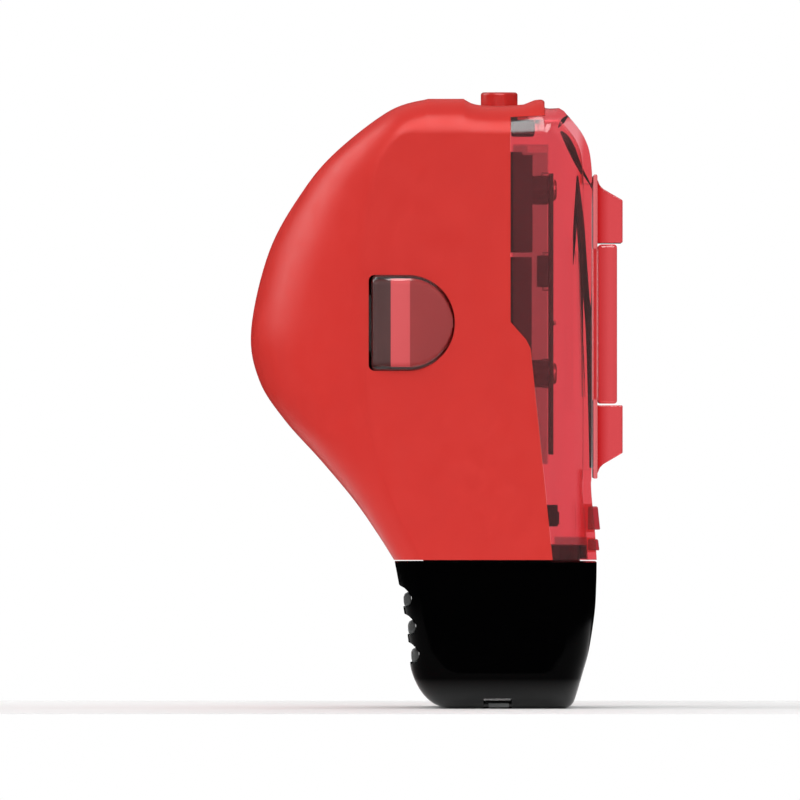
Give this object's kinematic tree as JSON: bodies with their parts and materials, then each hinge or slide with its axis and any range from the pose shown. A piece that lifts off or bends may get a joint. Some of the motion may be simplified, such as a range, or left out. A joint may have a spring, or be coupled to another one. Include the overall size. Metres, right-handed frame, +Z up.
{
  "type": "instrument tuner",
  "caption": "Palm-size instrument tuner with a deep opaque back, a see-through front shell with a raised display, side keys, a top button and a pull-off battery base.",
  "frame": {"origin": "centre of the flat foot that the part stands on", "axes": "+Z up, the display faces +X, the crowned back bulges towards -X, and Y runs across the width, with XZ as the plane of symmetry"},
  "size_m": [0.0464, 0.0452, 0.0768],
  "materials": {
    "red_shell": "satin moulded plastic",
    "clear_red": "polished see-through plastic",
    "gloss_black": "polished",
    "dark_plastic": "fine matte",
    "grey_rubber": "soft",
    "board": "solder mask",
    "steel": "plated",
    "brass": "plain",
    "can": "drawn can",
    "lcd_glass": "polished",
    "smoke_clear": "smoke-tinted see-through plastic",
    "white_plastic": "semi-gloss"
  },
  "bodies": {
    "housing": {"rear_shell": "red_shell", "front_shell": "clear_red", "chassis": "dark_plastic", "chassis_screw_left": "steel", "chassis_screw_right": "steel", "battery_cell": "can", "plus_contact": "brass", "minus_spring": "steel", "main_board": "board", "board_screw_low_left": "steel", "board_screw_low_right": "steel", "board_screw_high_left": "steel", "board_screw_high_right": "steel", "tuner_chip": "dark_plastic", "driver_chip": "dark_plastic", "memory_chip": "dark_plastic", "key_board": "board", "mode_switch": "dark_plastic", "indicator_led": "white_plastic", "microphone": "can", "lcd_backlight": "white_plastic", "lcd_panel": "lcd_glass", "display_mask": "dark_plastic", "smoke_frame": "smoke_clear", "display_bezel": "clear_red", "display_lens": "clear_red", "indicator_lens": "clear_red", "buzzer_chamber": "dark_plastic", "buzzer": "dark_plastic", "piezo_disc": "brass", "switch_carrier": "dark_plastic", "left_switch": "dark_plastic", "right_switch": "dark_plastic", "left_hinge_pin": "steel", "right_hinge_pin": "steel", "power_spring": "steel", "power_switch": "dark_plastic"},
    "base": {"base_cap": "gloss_black", "foot_plate": "gloss_black", "grip_bar_1": "grey_rubber", "grip_bar_2": "grey_rubber", "grip_bar_3": "grey_rubber"},
    "left_key": {"left_paddle": "clear_red"},
    "right_key": {"right_paddle": "clear_red"},
    "power_key": {"power_button": "red_shell"},
    "front_key": {"mode_key": "clear_red"}
  },
  "joints": [
    {"name": "base_slide", "type": "slide", "parent": "housing", "child": "base", "axis": [0, 0, -1], "range_m": [0, 0.022]},
    {"name": "left_key_hinge", "type": "hinge", "parent": "housing", "child": "left_key", "pos_m": [-0.005, 0.018, 0.048], "axis": [0, 0, 1], "range_deg": [0, 6], "stiffness_Nm_per_rad": 0.04, "springref_deg": -5.73},
    {"name": "right_key_hinge", "type": "hinge", "parent": "housing", "child": "right_key", "pos_m": [-0.005, -0.018, 0.048], "axis": [0, 0, -1], "range_deg": [0, 6], "stiffness_Nm_per_rad": 0.04, "springref_deg": -5.73},
    {"name": "power_press", "type": "slide", "parent": "housing", "child": "power_key", "axis": [0, 0, -1], "range_m": [0, 0.0008], "stiffness_N_per_m": 600, "springref_m": -0.0006, "deforming": ["power_spring"]},
    {"name": "front_key_press", "type": "slide", "parent": "housing", "child": "front_key", "axis": [-1, 0, 0], "range_m": [0, 0.00035], "stiffness_N_per_m": 600, "springref_m": -0.0004}
  ]
}
